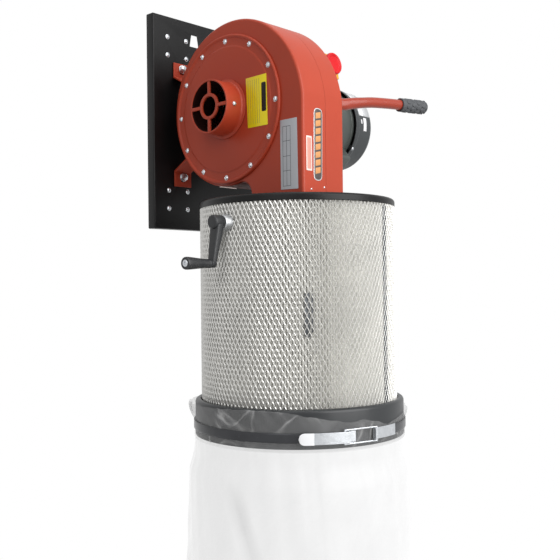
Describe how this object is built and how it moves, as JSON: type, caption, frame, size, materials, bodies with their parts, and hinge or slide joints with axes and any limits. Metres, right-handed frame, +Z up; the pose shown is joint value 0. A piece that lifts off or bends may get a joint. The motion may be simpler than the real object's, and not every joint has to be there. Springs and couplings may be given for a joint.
{
  "type": "dust collector",
  "caption": "Wall-hung dust collector: blower with inlet tube and guard, motor with switch, pleated canister filter with cleaning crank, and a film dust bag on a strapped collar.",
  "frame": {"origin": "middle of the wall plate in the wall plane; the motor and impeller axis is at this height", "axes": "+Y into the wall, +Z up, +X along the motor axis from the inlet towards the motor"},
  "size_m": [0.5748, 0.534, 1.417],
  "materials": {
    "red_paint": "semi-gloss",
    "black_paint": "satin",
    "motor_paint": "satin",
    "cowl_paint": "satin",
    "zinc": "zinc plated",
    "steel": "bare",
    "aluminium": "as cast",
    "black_plastic": "moulded",
    "rubber": "moulded",
    "yellow_plastic": "glossy",
    "red_plastic": "glossy",
    "green_plastic": "glossy",
    "galvanised": "galvanised",
    "paper": "matt",
    "collar_paint": "semi-gloss",
    "foam": "foam",
    "film": "translucent film"
  },
  "bodies": {
    "machine": {"casing_front": "red_paint", "casing_back": "red_paint", "inlet_cover": "red_paint", "inlet_tube": "red_paint", "inlet_guard": "red_paint", "blower_bracket_upper": "red_paint", "blower_bracket_lower": "red_paint", "handle_tube": "red_paint", "wall_plate": "black_paint", "motor_saddle": "black_paint", "canister_cap": "black_paint", "filter_bottom_ring": "black_paint", "gear_frame": "black_paint", "lower_spider": "black_paint", "band_clamp": "black_paint", "motor_flange": "motor_paint", "motor_body": "motor_paint", "motor_rear_shield": "motor_paint", "capacitor_box": "motor_paint", "fan_cowl": "cowl_paint", "bracket_bolt_upper": "zinc", "bracket_bolt_lower": "zinc", "saddle_bolt_upper": "zinc", "saddle_bolt_lower": "zinc", "guard_screw": "zinc", "latch_base": "zinc", "latch_catch": "zinc", "stator": "steel", "front_bearing": "steel", "rear_bearing": "steel", "crank_bush": "aluminium", "terminal_box": "black_plastic", "cable_gland": "black_plastic", "switch_base": "black_plastic", "handle_grip": "rubber", "filter_mesh": "galvanised", "filter_pleats": "paper", "collar_ring": "collar_paint", "filter_gasket": "foam", "dust_bag": "film"},
    "rotor": {"motor_shaft": "steel", "rotor_core": "steel", "impeller": "aluminium", "impeller_nut": "zinc", "cooling_fan": "black_plastic"},
    "crank": {"crank_arm": "black_plastic", "crank_shaft": "steel", "bevel_pinion": "steel", "grip_screw": "zinc"},
    "crank_grip": {"crank_grip": "black_plastic"},
    "beater": {"beater_shaft": "steel", "bevel_wheel": "steel", "beater_flap_front": "black_plastic", "beater_flap_rear": "black_plastic"},
    "switch_lid": {"switch_flap": "yellow_plastic"},
    "stop_mushroom": {"stop_mushroom": "red_plastic"},
    "start_button": {"start_button": "green_plastic"},
    "stop_button": {"stop_button": "red_plastic"},
    "latch_lever": {"latch_lever": "zinc"},
    "latch_bail": {"latch_bail": "zinc"}
  },
  "joints": [
    {"name": "impeller_spin", "type": "hinge", "parent": "machine", "child": "rotor", "pos_m": [0, -0.1916, 0], "axis": [1, 0, 0], "continuous": true},
    {"name": "beater_turn", "type": "hinge", "parent": "machine", "child": "beater", "pos_m": [-0.1025, -0.316, -0.4], "axis": [0, 0, 1], "continuous": true},
    {"name": "crank_turn", "type": "hinge", "parent": "machine", "child": "crank", "pos_m": [-0.3, -0.316, -0.227], "axis": [1, 0, 0], "continuous": true},
    {"name": "crank_grip_spin", "type": "hinge", "parent": "crank", "child": "crank_grip", "pos_m": [-0.35, -0.316, -0.2968], "axis": [1, 0, 0], "continuous": true},
    {"name": "lid_swing", "type": "hinge", "parent": "machine", "child": "switch_lid", "pos_m": [0.057, -0.24724, 0.1355], "axis": [-1, 0, 0], "range_deg": [0, 115]},
    {"name": "mushroom_press", "type": "slide", "parent": "switch_lid", "child": "stop_mushroom", "axis": [0, 0.9863, -0.165], "range_m": [0, 0.004], "stiffness_N_per_m": 300},
    {"name": "start_press", "type": "slide", "parent": "machine", "child": "start_button", "axis": [0, 0.9863, -0.165], "range_m": [0, 0.003], "stiffness_N_per_m": 300},
    {"name": "stop_press", "type": "slide", "parent": "machine", "child": "stop_button", "axis": [0, 0.9863, -0.165], "range_m": [0, 0.003], "stiffness_N_per_m": 300},
    {"name": "latch_lever_swing", "type": "hinge", "parent": "machine", "child": "latch_lever", "pos_m": [-0.18344, -0.4978, -0.582], "axis": [0, 0, 1], "range_deg": [0, 105]},
    {"name": "latch_bail_swing", "type": "hinge", "parent": "latch_lever", "child": "latch_bail", "pos_m": [-0.19098, -0.49425, -0.582], "axis": [0, 0, 1], "range_deg": [-105, 0]}
  ],
  "couplings": [
    {"joint": "crank_turn", "follows": "beater_turn", "ratio": -2},
    {"joint": "latch_bail_swing", "follows": "latch_lever_swing", "ratio": -1}
  ]
}
